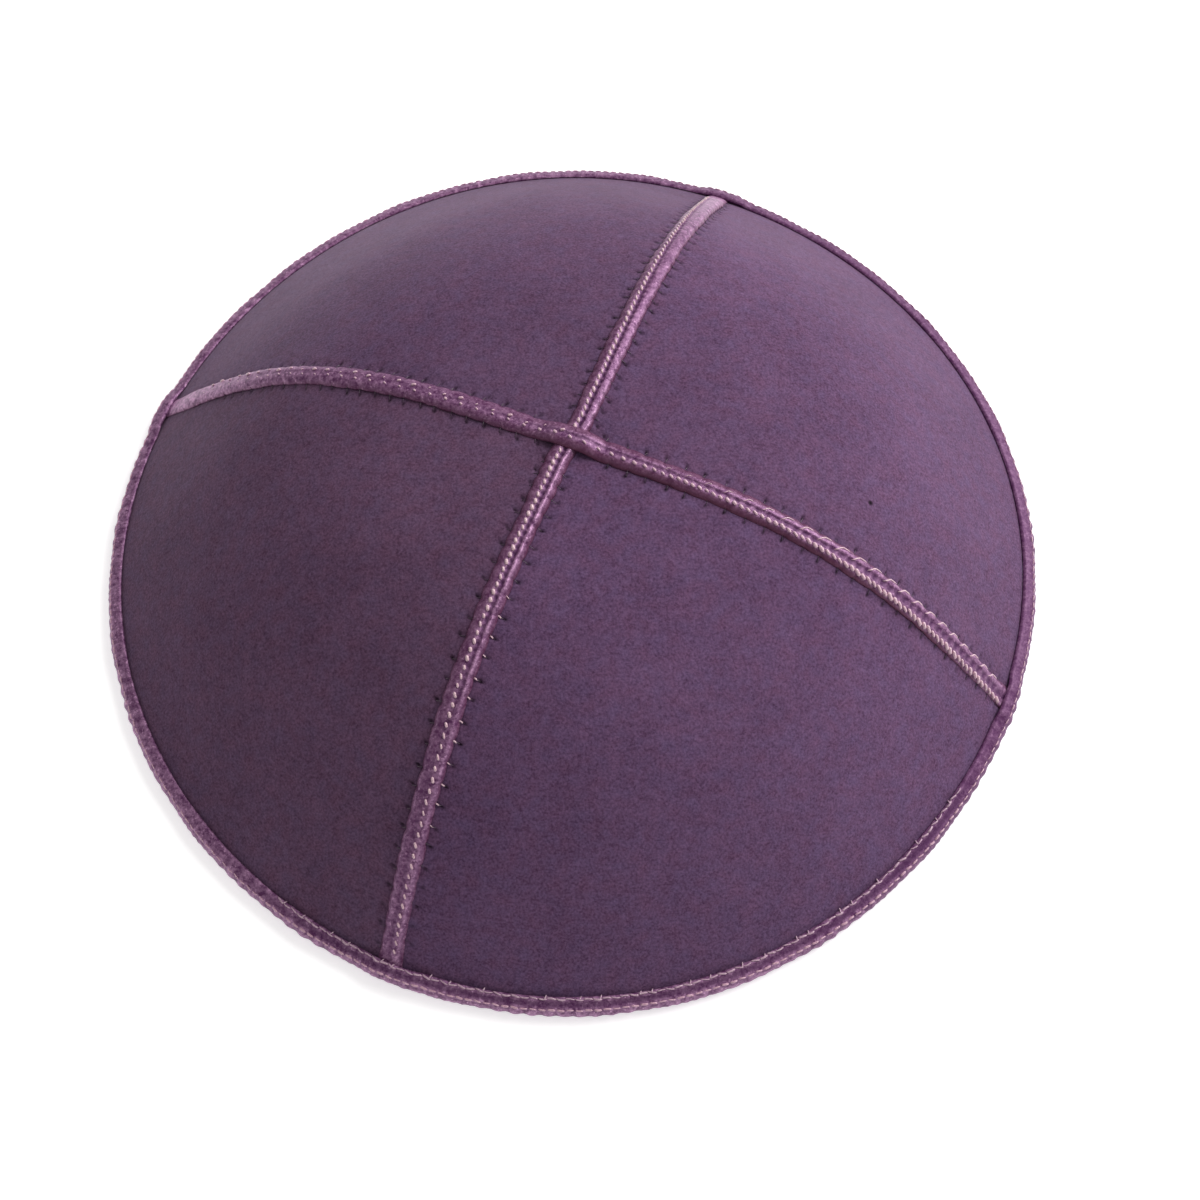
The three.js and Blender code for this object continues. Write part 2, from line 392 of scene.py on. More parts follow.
def suede_finish(name, nap_and_light_tint):
    """Suede with its light and dark fibre colours multiplied by a gore's tint,
    which is partly its nap and partly painted light and shade.
    """
    dark = tuple(s * c for s, c in zip(nap_and_light_tint, (0.055, 0.024, 0.058))) + (1,)
    light = tuple(s * c for s, c in zip(nap_and_light_tint, (0.190, 0.106, 0.198))) + (1,)
    # the colour of painted shade in the needle holes and by the strips' and the binding's edges, and
    # of the real speck
    shade_and_speck_colour = (0.010, 0.004, 0.010, 1)

    def build(start):
        place = start.place()
        fibre = place.noise(0.42, detail=3, roughness=0.65)
        tuft = place.noise(1.3, detail=2)
        cloud = place.noise(9, detail=3)
        drift = place.noise(34, detail=1)
        tone = 0.5 + (fibre - 0.5) * 1.7 + (tuft - 0.5) * 0.5
        tone = tone + (cloud - 0.5) * 0.3 + (drift - 0.5) * 0.2
        dye = 0.5 + (place.noise(2.6, detail=3) - 0.5) * 2.2
        tint = dye.blend((1.08, 0.98, 0.96, 1), (0.93, 1.01, 1.04, 1))
        ends = {0: place, 1: SPECK_PLACE}
        from_speck = place.node("VectorMath", {"operation": "DISTANCE"}, ends, "Value")
        speck = SPECK_FADE - from_speck * (1 / (SPECK_RADIUS * MM))
        # the stored number is painted shade; the speck is a real mark
        hole = place.sum("MAXIMUM", start.stored("hole"), speck)
        colour = hole.blend(tone.blend(dark, light).tinted(tint), shade_and_speck_colour)
        return {"Base Color": colour, "Normal": start.bump(0.6, 0.14, fibre * 0.7 + tuft * 0.3)}

    constants = {
        "Roughness": 0.92,
        "Specular IOR Level": 0.12,
        "Sheen Weight": 0.2,
        "Sheen Roughness": 0.4,
        "Sheen Tint": (0.86, 0.72, 0.88, 1),
    }
    return finish(name, constants, build)


# %% [markdown]
# ## Pearly trim leather
# The strips and the binding are thin, smooth leather with a pearly dressing, so they
# have broad soft highlights where the suede has none. The ridges are paler, partly where
# the dressing has rubbed and partly as painted highlight, with painted glints here and
# there; the stitched hollows take painted shade; and the rolled edges are maroon, deepened
# by painted shade on the flanks. How hollow, how ridged and how near an edge each point is
# follows from the shape, so these numbers are stored on the points.

# %% Finish: trim leather
def trim_finish():
    # the rubbed colour is partly rubbed dressing and partly painted highlight, the hollow colour is
    # painted shade, and the edge colour is the maroon of the rolled edges, deepened as painted shade
    base = (0.104, 0.027, 0.100, 1)
    rubbed_and_highlight_colour = (0.600, 0.335, 0.545, 1)
    hollow_shade_colour = (0.074, 0.020, 0.082, 1)
    maroon_and_shade_colour = (0.128, 0.038, 0.078, 1)

    def build(start):
        place = start.place()
        grain = place.noise(0.55, detail=3, roughness=0.65)
        streak = place.noise(1.3, detail=2)
        painted_glint = place.noise(0.45, detail=1)
        hollow_shade, ridge, edge = (start.stored(name) for name in ("hollow_shade", "ridge", "edge"))
        # paleness from the stored ridge number and the grain, partly rubbed wear and partly painted
        # highlight, with painted glints on top
        wear_and_highlight = ridge + (0.15 + ridge) * ((streak - 0.5) * 2.0 + (grain - 0.5) * 3.2)
        wear_and_highlight = wear_and_highlight + (0.1 + ridge) * painted_glint.sum("MAXIMUM", (painted_glint - 0.6) * 9, 0.0)
        colour = edge.blend(hollow_shade.blend(wear_and_highlight.blend(base, rubbed_and_highlight_colour), hollow_shade_colour), maroon_and_shade_colour)
        return {
            "Base Color": colour,
            "Roughness": 0.3 + grain * 0.2 + hollow_shade * 0.2,
            "Normal": start.bump(0.8, 0.16, grain * 0.7 + streak * 0.3),
        }

    constants = {
        "Metallic": 0.25,
        "Specular IOR Level": 0.3,
        "Specular Tint": (1.0, 0.75, 0.95, 1),
        "Coat Weight": 0.08,
        "Coat Roughness": 0.3,
    }
    return finish("trim_leather", constants, build)


# %% [markdown]
# ## Thread
# The thread is glossy and hardly thicker than a hair's breadth or three, so a stitch
# shows as a bright grain with a spark on its back. A little noise along it blends a shaded
# and a bright colour, painted shade and highlight for the twist of its plies. The strips'
# stitches are the palest, nearly cream, partly as painted highlight, and the two rows on
# the binding are duller. The legs that dive into the suede get a copy of the thread in
# painted shade, as dark as the needle holes.

# %% Finish: thread
def thread_finish(name, shaded, bright):
    def build(start):
        twist = start.place().noise(0.25, detail=1)
        # the twist noise blends painted shade and painted highlight into the thread's colour
        return {"Base Color": twist.blend(shaded, bright), "Normal": start.bump(0.4, 0.04, twist)}

    constants = {"Roughness": 0.3, "Sheen Weight": 0.2, "Coat Weight": 0.4, "Coat Roughness": 0.15}
    return finish(name, constants, build)


trim = trim_finish()
# the pale threads' bright colours are partly painted highlight
pale_thread = thread_finish("pale_thread", (0.46, 0.25, 0.33, 1), (0.96, 0.70, 0.74, 1))
pink_thread = thread_finish("pink_thread", (0.44, 0.22, 0.31, 1), (0.98, 0.70, 0.78, 1))
lilac_thread = thread_finish("lilac_thread", (0.30, 0.14, 0.24, 1), (0.80, 0.57, 0.68, 1))
rose_thread = thread_finish("rose_thread", (0.34, 0.14, 0.23, 1), (0.84, 0.54, 0.65, 1))
# the legs' thread in painted shade, as dark as the needle holes
painted_shade_thread = thread_finish("painted_shade_thread", (0.030, 0.012, 0.026, 1), (0.075, 0.035, 0.070, 1))

# %% [markdown]
# ## The stitching plan
# A machine sewed the strips down with two rows, and the two rows look quite different:
# one is a string of bright beads of thread, the other a fold of leather that stands up
# as a pale ridge. Between them is a groove, nipped into cells, and beside the strip runs
# a line of needle holes in the suede. The operator changed the stitch along the way. So
# the plan is a table for each strip: one column for each measure, one row for each of a
# few places along it, negative on the strip's first seam and positive on the second.
# Most columns say where across the strip a thing runs, or how strong it is from 0 to 1.
# "shift" is how far the strip was sewn off its seam, "slot" how far the groove lies from
# the beads, "maroon_and_shade" how maroon the leather stays beside the stitching, deepened
# by painted shade, "loop" how much of it is drawn up pale at each needle hole, and "worked"
# is 0 at the two ends that are left as plain ribbon, which are paler as painted highlight.

# %% Plan the stitching
STITCHING = {
    "under": {
        "along": [-94, -87, -60, -40, -15, -4, 4, 20, 45, 60, 75, 94],
        "shift": [1.2, 1.0, 0.3, 0.1, -0.3, -0.3, 0.75, 0.75, 0.25, -0.1, 0.0, 0.4],
        "bead": [1.3, 1.3, 0.95, 0.65, 0.3, 0.3, 0.25, 0.25, 0.0, -0.5, -0.6, -0.6],
        "ridge": [-1.2, -1.2, -1.5, -1.6, -1.6, -1.5, -1.15, -1.15, -1.25, -1.3, -1.25, -1.1],
        "fold": [0.5, 0.5, 0.25, 0.3, 0.45, 0.8, 1.0, 1.0, 0.8, 0.5, 0.7, 0.5],
        "groove": [0.1, 0.3, 0.5, 0.8, 1.0, 1.0, 0.9, 0.9, 0.6, 0.3, 0.4, 0.3],
        "slot": [0.5, 0.5, 0.5, 0.5, 0.5, 0.5, 0.6, 0.6, 0.55, -0.8, -0.8, -0.8],
        "slot_half": 0.32,
        "maroon_and_shade": [0.0, 0.2, 0.3, 0.4, 0.5, 0.5, 0.5, 0.5, 0.3, 0.0, 0.0, 0.0],
        "loop": 0.0,
        "bead_pitch": [1.3, 1.3, 1.3, 1.3, 1.3, 1.3, 1.28, 1.28, 1.5, 1.9, 1.9, 1.7],
        "bead_length": [0.75, 0.75, 0.8, 0.85, 0.8, 0.8, 0.78, 0.78, 0.7, 0.8, 0.8, 0.8],
        "bead_radius": [0.16, 0.18, 0.2, 0.21, 0.23, 0.25, 0.29, 0.29, 0.24, 0.2, 0.2, 0.2],
        "cell_pitch": 1.3,
        "hole_pitch": [2.5, 2.5, 2.5, 2.5, 2.5, 2.4, 2.3, 3.1, 3.6, 3.6, 3.6, 3.6],
        "hole_dark": [0.4, 0.6, 0.7, 0.9, 1.0, 1.0, 1.0, 1.1, 1.2, 1.2, 1.0, 0.7],
        "worked": [0.0, 0.7, 1.0, 1.0, 1.0, 1.0, 1.0, 1.0, 1.0, 1.0, 1.0, 1.0],
    },
    "over": {
        "along": [-94, -78, -60, -45, -30, -10, 3, 20, 30, 45, 60, 75, 94],
        "shift": [-0.8, -0.8, -0.85, -0.75, -0.75, -0.4, -0.3, -0.3, -0.3, -0.35, -0.4, -0.4, -0.1],
        "bead": [0.4, 0.4, 0.4, 0.4, 0.45, 0.5, 0.45, 0.55, 0.75, 0.9, 1.2, 1.35, 1.5],
        "ridge": [-0.9, -0.9, -0.8, -0.5, -0.65, -0.15, -0.6, -0.6, -0.7, -0.85, -1.2, -1.4, -1.2],
        "fold": [0.1, 0.15, 0.2, 0.2, 0.15, 0.1, 0.15, 0.15, 0.2, 0.3, 0.4, 0.45, 0.4],
        "groove": [0.0, 0.0, 0.05, 0.1, 0.1, 0.15, 0.3, 0.4, 0.6, 0.8, 0.9, 0.9, 0.8],
        "slot": [0.5, 0.5, 0.5, 0.5, 0.5, 0.4, 0.5, 0.55, 0.65, 0.8, 1.2, 1.3, 1.3],
        "slot_half": [0.3, 0.3, 0.3, 0.3, 0.3, 0.3, 0.3, 0.3, 0.35, 0.4, 0.55, 0.6, 0.6],
        "maroon_and_shade": [0.0, 0.0, 0.0, 0.1, 0.2, 0.4, 0.8, 0.9, 1.0, 1.0, 0.9, 0.8, 0.4],
        "loop": [0.0, 0.0, 0.5, 0.5, 0.5, 0.5, 0.3, 0.0, 0.0, 0.0, 0.0, 0.0, 0.0],
        "bead_pitch": [2.9, 2.9, 2.9, 2.9, 2.9, 2.9, 2.6, 1.25, 1.25, 1.25, 1.25, 1.3, 1.3],
        "bead_length": [0.3, 0.3, 0.3, 0.32, 0.4, 0.45, 0.7, 0.7, 0.7, 0.9, 1.25, 1.3, 1.3],
        "bead_radius": [0.08, 0.1, 0.11, 0.12, 0.17, 0.18, 0.22, 0.24, 0.28, 0.3, 0.3, 0.29, 0.29],
        "cell_pitch": 1.8,
        "hole_pitch": [2.9, 2.9, 2.9, 2.9, 2.9, 3.1, 3.4, 3.55, 3.55, 3.55, 3.5, 3.4, 3.0],
        "hole_dark": [0.1, 0.3, 0.6, 0.8, 0.9, 1.0, 1.1, 1.1, 1.1, 1.0, 0.9, 0.8, 0.6],
        "worked": [0.0, 0.4, 0.9, 1.0, 1.0, 1.0, 1.0, 1.0, 1.0, 1.0, 1.0, 1.0, 1.0],
    },
}
STRIP_HALF = 2.1  # half the strips' width
BINDING_LEG = 2.2  # how far the binding reaches up the suede's face
HOLE_ACROSS = 2.8  # from the middle of a strip to a needle hole
HOLE_RANGE = (4.2, WALL_LENGTH - BINDING_LEG - 1.5)  # from the crown, along each seam
MARKS = np.linspace(-WALL_LENGTH, WALL_LENGTH, 4001)  # where stitches are counted


# %% Read the plan
def stitching(strip, column, along):
    """A measure from the strip's table, running straight between the table's rows. A
    column with one number is the same all along."""
    places = STITCHING[strip]["along"]
    return np.interp(along, places, np.broadcast_to(STITCHING[strip][column], len(places)))


def stitches_to(strip, column, along):
    """How many stitches lie between the crown and here: 1 / pitch, added up."""
    number = np.cumsum(1 / stitching(strip, column, MARKS)) * (MARKS[1] - MARKS[0])
    return np.interp(along, MARKS, number - np.interp(0, MARKS, number))


def stitch_place(strip, column, number):
    """Where along the strip a stitch's number falls, which is stitches_to run backwards."""
    return np.interp(number, stitches_to(strip, column, MARKS), MARKS)


# %% Place the needle holes
def hole_place(strip, number, right):
    """A needle hole's place along and across the strip, from its number and its side (1 on
    the right, -1 on the left). A few sines make the row uneven, as if guided by hand."""
    along = stitch_place(strip, "hole_pitch", number + 0.25 * right)
    along = along + 0.2 * np.sin(2.7 * number + right)
    across = HOLE_ACROSS + 0.18 * np.sin(1.9 * number + 2 * right)
    return along, right * across


def hole_force(strip, number, right, place):
    """How hard a hole's stitch was drawn, from 0 to 1: none near the crown or the rim."""
    there = (np.abs(place) > HOLE_RANGE[0]) & (np.abs(place) < HOLE_RANGE[1])
    uneven = 0.8 + 0.2 * np.sin(2.3 * number + 1.7 * right)
    return there * uneven * stitching(strip, "hole_dark", place)


def nearest_hole(strip, along, right):
    """The nearest needle hole's place, and how hard its stitch was drawn."""
    number = np.round(stitches_to(strip, "hole_pitch", along) - 0.25 * right)
    place, across = hole_place(strip, number, right)
    return place, across, hole_force(strip, number, right, place)


def stitch_numbers(strip, column, low, high):
    """The whole numbers of the stitches between two places."""
    first, last = stitches_to(strip, column, np.array([low, high]))
    return np.arange(np.ceil(first), np.floor(last) + 1)


for strip in STITCHING:
    count = len(stitch_numbers(strip, "bead_pitch", -WALL_LENGTH, WALL_LENGTH))
    print(f"the {strip} strip has {count} beads of thread")

# %% [markdown]
# ## The suede panels
# A panel is a wall between two grids. The rows run down from the crown, and the columns
# follow the seams closely for the first few millimetres, where the needle holes are, and
# spread out over the plain middle. A hole is a short deep slit inside a shallow dimple,
# and the pull of the stitch draws the suede down between the slit and the strip. The rim
# is pinched a little where the binding's edge bites in, and a line of painted shade runs there.

# %% Work out a panel's grid
ROW_STEP = 0.3
SEAM_STEP = 0.25
SEAM_COLUMNS = 20
MIDDLE_COLUMNS = 38
PANEL_TIP = 1.2  # from the crown to where a panel starts, under the strips
SEAM_GAP = 0.06  # from a panel's edge to the middle of the seam
SLIT_DEPTH = 0.3
DIMPLE_DEPTH = 0.1
PULL_DEPTH = 0.12


def panel_plan(first_seam):
    """Distance down the wall, and across from the nearer seam, at each grid point, with
    the azimuth. Near a seam the columns keep their distance from it in millimetres."""
    rows = int(WALL_LENGTH / ROW_STEP)
    down = np.linspace(PANEL_TIP, WALL_LENGTH, rows)[:, None]
    reach = reach_at(down)
    radius = reach * RIM_RADIUS
    width = radius * (seam_azimuth(first_seam + 1, reach) - seam_azimuth(first_seam, reach))
    near = SEAM_STEP * np.arange(SEAM_COLUMNS)[None, :]
    near = near * np.minimum(1, 0.45 * width / near[0, -1]) + SEAM_GAP
    middle = np.linspace(0, 1, MIDDLE_COLUMNS + 2)[None, 1:-1]
    middle = near[:, -1:] + middle * (width - 2 * near[:, -1:])
    from_first = np.concatenate([near, middle, width - near[:, ::-1]], 1)
    azimuth = seam_azimuth(first_seam, reach) + from_first / radius
    across = np.minimum(from_first, width - from_first)
    seam = np.where(from_first < width / 2, first_seam, first_seam + 1) % 4
    side = np.where(from_first < width / 2, 1, -1)
    return down + 0 * across, across, azimuth, seam, side


# %% Dent the suede
def hole_dents(down, across, seam, side):
    """Depth of the slit, the dimple and the pull at the nearest needle hole, and 0 to 1
    for the painted shade in the slit and close under the strip's edge."""
    outward = np.where(seam < 2, -1, 1)
    along, right = down * outward, -side * outward
    found = [(*nearest_hole(s, along, right), stitching(s, "shift", along)) for s in STITCHING]
    place, hole, force, shift = (np.where(seam % 2, over, under) for under, over in zip(*found))
    beside = along - place
    beyond = across - right * (hole + shift)
    slit = np.exp(-((beside / 0.26) ** 2) - (beyond / 0.45) ** 2) * force
    dimple = np.exp(-((np.hypot(beside, beyond) / 0.9) ** 2)) * force
    pull = np.exp(-((beside / 0.4) ** 2)) * (1 - smoothstep(beyond, -1.1, 0)) * force
    shade_under_strip = 1 - smoothstep(across - right * shift, STRIP_HALF, STRIP_HALF + 0.5)
    # painted shade: dark in the needle hole's slit and a little under the strip's edge
    dark = np.clip(slit + 0.05 * shade_under_strip, 0, 1)
    return SLIT_DEPTH * slit + DIMPLE_DEPTH * dimple + PULL_DEPTH * pull, dark


def panel_relief(x, y, down):
    """Slow waves a few centimetres long, and the pinch at the binding's upper edge."""
    waves = 0.10 * np.sin(x / 7.9 + 1.3) * np.sin(y / 9.3 + 0.4)
    waves = waves + 0.08 * np.sin((x + 1.6 * y) / 12.7) + 0.05 * np.sin((y - 0.7 * x) / 4.1 + 2)
    from_edge = WALL_LENGTH - down
    fade = smoothstep(from_edge, 1.0, 12.0) * smoothstep(down, 4, 14)
    pinch = 0.08 * np.exp(-(((from_edge - BINDING_LEG) / 0.8) ** 2))
    return waves * fade - pinch


# %% Make the four panels
# each gore's tint is partly its nap and partly painted light and shade: the left gore, turned from
# the lamp, is darkest and warmest
PANELS = {
    "name": ["back", "left", "front", "right"],
    "nap_and_light_tint": [(0.93, 0.92, 0.95), (0.92, 0.90, 0.88), (1.0, 0.98, 1.06), (1.0, 0.98, 1.04)],
}


def suede_panel(number, name, nap_and_light_tint):
    """A gore from its grid, drawn in a little beside the strips, with painted shade by the binding.
    """
    down, across, azimuth, seam, side = panel_plan(number)
    radius = reach_at(down) * rim_radius(azimuth)
    x, y = radius * np.cos(azimuth), radius * np.sin(azimuth)
    dent, dark = hole_dents(down, across, seam, side)
    tuck = 0.06 * (1 - smoothstep(across, 0.5, 2.6))
    outer = off_wall(x, y, panel_relief(x, y, down) - dent - tuck)
    inner = off_wall(x, y, -SUEDE - 0.3 * dent)
    # a thin line of painted shade along the binding's upper edge
    shade_at_binding = np.exp(-(((WALL_LENGTH - down - BINDING_LEG) / 0.25) ** 2))
    dark = np.clip(dark + 0.08 * shade_at_binding, 0, 1)
    numbers = {"hole": np.concatenate([dark.ravel(), 0 * dark.ravel()])}
    piece = shell(f"suede_{name}", outer, inner, numbers)
    material = suede_finish(f"suede_{name}", nap_and_light_tint)
    return dressed(piece, material, "suede", f"panel_{name}")


for number, (name, nap_and_light_tint) in enumerate(zip(*PANELS.values())):
    suede_panel(number, name, nap_and_light_tint)

# %% [markdown]
# ## A line down each seam
# Strips and stitches are placed by two numbers: how far along from the crown, negative
# on one seam and positive on the one opposite, and how far across. A path is therefore a
# function from "along" to a place in plan and the direction across it.

# %% Follow the seams
STRIPS = {"under": 0, "over": 1}  # each strip's first seam; its other seam is two further on


def seam_line(strip, along):
    """Middle of a strip in plan, and the unit vector to its right."""
    def middle(at):
        reach = reach_at(np.abs(at))
        first, second = (seam_azimuth(STRIPS[strip] + turn, reach) for turn in (0, 2))
        azimuth = np.where(at < 0, first, second)
        radius = reach * rim_radius(azimuth)
        return np.stack([radius * np.cos(azimuth), radius * np.sin(azimuth)], -1)

    ahead = middle(along + 0.3) - middle(along - 0.3)
    ahead = ahead / np.linalg.norm(ahead, axis=-1, keepdims=True)
    return middle(along), np.stack([ahead[..., 1], -ahead[..., 0]], -1)


def over_seam(strip, along, across, off):
    """The point across a strip's middle, off the suede's face. The table's "shift" is how
    far the strip was sewn off the seam."""
    middle, right = seam_line(strip, along)
    plan = middle + right * (across + stitching(strip, "shift", along))[..., None]
    return off_wall(plan[..., 0], plan[..., 1], off)


# %% [markdown]
# ## The seam strips
# Each strip is a narrow band of the pearly leather with its edges rolled under. Its top
# is a flat arch, with the groove, the fold and the beads' seats cut into it or raised on
# it where the stitching plan puts them. Each needle hole beside the strip nips its edge
# in, which is why the edges look scalloped. At the rim the strip is pared thin to go
# under the binding, and the upper strip climbs over the lower at the crown.

# %% The strips' section
STRIP_HEIGHT = 1.0
STRIP_UNDER = -0.12  # the underside is pressed a little into the suede
HUMP_LENGTH = 4.0
CROSSING_LIFT = 0.95  # how far the upper strip is raised by the lower
PARED = 0.45  # the share of its height that a strip keeps under the binding


def hump_over(distance, height):
    """A raised stretch over a strip that is crossed, down again within HUMP_LENGTH."""
    edge = STRIP_HALF + 0.1
    return height * (1 - smoothstep(np.abs(distance), edge, edge + HUMP_LENGTH))


def strip_lift(strip, along):
    """How far a strip is lifted at the crown, where only the upper one is."""
    return hump_over(along, CROSSING_LIFT) * (strip == "over")


def pared(along):
    """1 along the strip, falling to PARED under the binding."""
    covered = WALL_LENGTH - BINDING_LEG - 0.5
    return 1 - (1 - PARED) * smoothstep(np.abs(along), covered - 9, covered)


def strip_half_width(strip, along, right):
    """Half the strip's width, nipped in at each needle hole and slowly uneven."""
    place, _, force = nearest_hole(strip, along, right)
    nip = 0.22 * np.exp(-(((along - place) / 0.6) ** 2)) * force
    return STRIP_HALF - nip + 0.07 * np.sin(along / 3.7) + 0.05 * np.sin(along / 1.7 + 2)


# %% The strips' tops
def strip_top(strip, along, across):
    """Height of the strip's top: a flat arch (1 - x^3)^0.75 plus the fold and the loops,
    less the groove with its cells, the beads' seats and the nips. Also how much painted
    shade its hollows take, how pale it is, partly rubbed wear and partly painted highlight,
    and how far towards the maroon of its rolled edges, deepened by painted shade, which the
    plan's "maroon_and_shade" brings in to the beads on one side and to the fold on the other."""
    right = np.where(across > 0, 1, -1)
    columns = ("bead", "ridge", "fold", "groove", "slot", "slot_half", "maroon_and_shade", "loop", "worked")
    bead, ridge, fold, depth, slot, slot_half, maroon_and_shade, loop, worked = (
        stitching(strip, column, along) for column in columns
    )
    place, _, force = nearest_hole(strip, along, right)
    nip = np.exp(-(((along - place) / 0.45) ** 2)) * force
    slanted = (along - place + 0.5 * (1.6 - across)) / 0.3
    loop = loop * np.exp(-(slanted**2)) * smoothstep(across, 0.1, 0.7)
    share = np.clip(np.abs(across) / strip_half_width(strip, along, right), 0, 1)
    arch = STRIP_HEIGHT * (1 - share**3) ** 0.75
    cell = 0.5 - 0.5 * np.cos(2 * np.pi * stitches_to(strip, "cell_pitch", along))
    groove = depth * (0.16 + 0.24 * cell) * np.exp(-(((across - bead + slot) / slot_half) ** 4))
    seat = 0.1 * depth * np.exp(-(((across - bead) / 0.24) ** 2))
    raised = fold * (1 - 0.5 * nip) * np.exp(-(((across - ridge) / 0.28) ** 2)) * worked
    flank = 0.18 * nip * smoothstep(np.abs(across), 1.0, 1.7) * (1 - share**4)
    rise = (arch - groove - seat - flank + 0.13 * raised + 0.06 * loop) * pared(along)
    # painted shade in the groove's cells and on the flanks that the nips pull in
    hollow_shade = np.clip((groove + 0.5 * flank) / 0.4, 0, 1)
    below_bead = smoothstep(across, bead + 0.2, bead + 0.7)
    above_fold = 1 - smoothstep(across, ridge - 0.5, ridge)
    # the maroon of the rolled edges, with painted shade on the flanks below the beads and above the
    # fold
    maroon_and_shade = maroon_and_shade * (0.7 * below_bead + 0.55 * above_fold)
    edge = np.clip(maroon_and_shade + 0.4 * smoothstep(share, 0.7, 1.0), 0, 1)
    beside = depth * np.exp(-(((across - bead) / 0.4) ** 2))
    # paleness: partly rubbed wear and partly painted highlight on the fold, beside the beads and on
    # the plain ribbon ends; the loops stand in for pale thread
    ridge = 0.18 + 0.42 * raised + 0.3 * beside + 0.4 * loop + 0.4 * (1 - worked)
    return rise, {"hollow_shade": hollow_shade, "ridge": np.clip(ridge, 0, 1), "edge": edge}


# %% Make the two strips
STRIP_STEP = 0.22
TOP_CORNERS = 41
STRIP_END = WALL_LENGTH - 0.6


def leather_strip(strip):
    """A strip from rim to rim: one ring of top and underside for each step along it."""
    along = np.arange(-STRIP_END, STRIP_END, STRIP_STEP)[:, None]
    turn = np.linspace(-1, 1, TOP_CORNERS)[None, :]
    spread = np.sin(turn * np.pi / 2) * 0.25 + turn * 0.75
    across = spread * strip_half_width(strip, along, np.where(spread > 0, 1, -1))
    rise, numbers = strip_top(strip, along, across)
    lift = strip_lift(strip, along)
    top = over_seam(strip, along, across, lift + rise)
    below = np.linspace(0.97, -0.97, 7)[None, :] * STRIP_HALF * 0.93
    under = over_seam(strip, along, below, lift + STRIP_UNDER + 0 * below)
    rings = np.concatenate([top, under], 1)[None]
    flat = 0 * under[..., 0]
    numbers = {key: np.concatenate([v, flat], 1)[None] for key, v in numbers.items()}
    piece = tubes(f"{strip}_strip", rings, numbers)
    return dressed(piece, trim, "trim_leather", f"seam_strip_{strip}")


for strip in STRIPS:
    leather_strip(strip)

# %% [markdown]
# ## The rim binding
# A binding is a strip of leather folded round the raw edge, so its section is a hairpin:
# an outer leg on the face, a round nose below the edge, and an inner leg inside. The
# section is drawn once as a closed line and carried round the rim. The outer leg is
# pared thin at its upper edge. The stitches nip the leather into the small scallops that
# show all round the outline, and it rises where the strips' ends pass under it. Only the
# near stretch of the rim was sewn twice, with a groove between the rows. On the right,
# towards the lamp, the binding takes painted shade and less of its paleness.

# %% The binding's section
INNER_LEG = 2.2
BINDING_THICK = 1.05
INNER_THICK = 1.0
NOSE_DEPTH = 1.6
EDGE_ROUND = 0.5
INNER_ROUND = 0.4
END_LIFT = 0.5  # how far the outer leg is raised by a strip's end
RIM_LENGTH = 2 * np.pi * RIM_RADIUS
RIM_ROWS = {"upper": -2.0, "lower": -0.3}  # how far past the suede's edge each row lies
RIM_GROOVE = -1.15
TWICE_SEWN = {"middle": 279, "reach": 45}  # degrees of azimuth, to each side of the middle
PAINTED_SHADE_SIDE = 10  # the azimuth in degrees where the binding takes the most painted shade and is least pale, towards the lamp
SCALLOPS = [round(RIM_LENGTH / 2.7), round(RIM_LENGTH / 1.45)]  # wide ones and fine ones
RIM_STITCHES = round(RIM_LENGTH / 1.5)
RIM_TUFTS = round(RIM_LENGTH / 3.1)


def leg_top(past):
    """Height of the outer leg's top over the suede: BINDING_THICK, pared to 0.62 of that
    at the upper edge, which is rounded off as sqrt(1 - to_edge^2)."""
    thick = BINDING_THICK * (0.62 + 0.38 * smoothstep(past, -BINDING_LEG, -0.6))
    to_edge = np.clip(1 - (past + BINDING_LEG) / EDGE_ROUND, 0, 1)
    return thick * np.sqrt(1 - to_edge**2)


def hairpin():
    """The folded section, as how far each point lies past the suede's edge and off its
    outer face. It starts at the outer leg's upper edge, runs round the nose, half an
    ellipse, and up inside, and comes back along both faces of the suede."""
    quarter = np.linspace(0, np.pi / 2, 7)
    half_turn = np.linspace(0, np.pi, 23)[1:-1]
    top = BINDING_THICK
    leg = np.linspace(EDGE_ROUND - BINDING_LEG, 0, 17)[1:]
    inside = -SUEDE - INNER_THICK
    back = np.linspace(0, INNER_ROUND - INNER_LEG, 6)
    past = [-BINDING_LEG + EDGE_ROUND * (1 - np.cos(quarter)), leg]
    past.append(NOSE_DEPTH * np.sin(half_turn))
    off = [leg_top(past[0]), leg_top(past[1])]
    off.append((top + inside) / 2 + (top - inside) / 2 * np.cos(half_turn))
    past += [back, INNER_ROUND - INNER_LEG - INNER_ROUND * np.sin(quarter[1:])]
    off += [inside + 0 * back, inside + INNER_THICK * (1 - np.cos(quarter[1:]))]
    past.append(np.array([-1.5, 0.1, 0.1, -1.5]))
    off.append(np.array([-SUEDE - 0.02, -SUEDE - 0.02, -0.02, -0.02]))
    return np.concatenate(past), np.concatenate(off)


HIDDEN_POINTS = 4  # the section's last ones, along the suede
HAIRPIN_PAST, HAIRPIN_OFF = hairpin()
print(len(HAIRPIN_PAST), "points round the binding's section")


# %% Carry the section round the rim
def on_rim(azimuth, past, off):
    """The point past the suede's edge and off its face, in the upright plane at an
    azimuth. What would reach below the floor lies flat on it."""
    out = past * np.cos(RIM_SLOPE) + off * np.sin(RIM_SLOPE)
    up = off * np.cos(RIM_SLOPE) - past * np.sin(RIM_SLOPE)
    radius = rim_radius(azimuth) + out
    height = np.maximum(EDGE_HEIGHT + up, 0)
    return np.stack([radius * np.cos(azimuth), radius * np.sin(azimuth), height], -1)


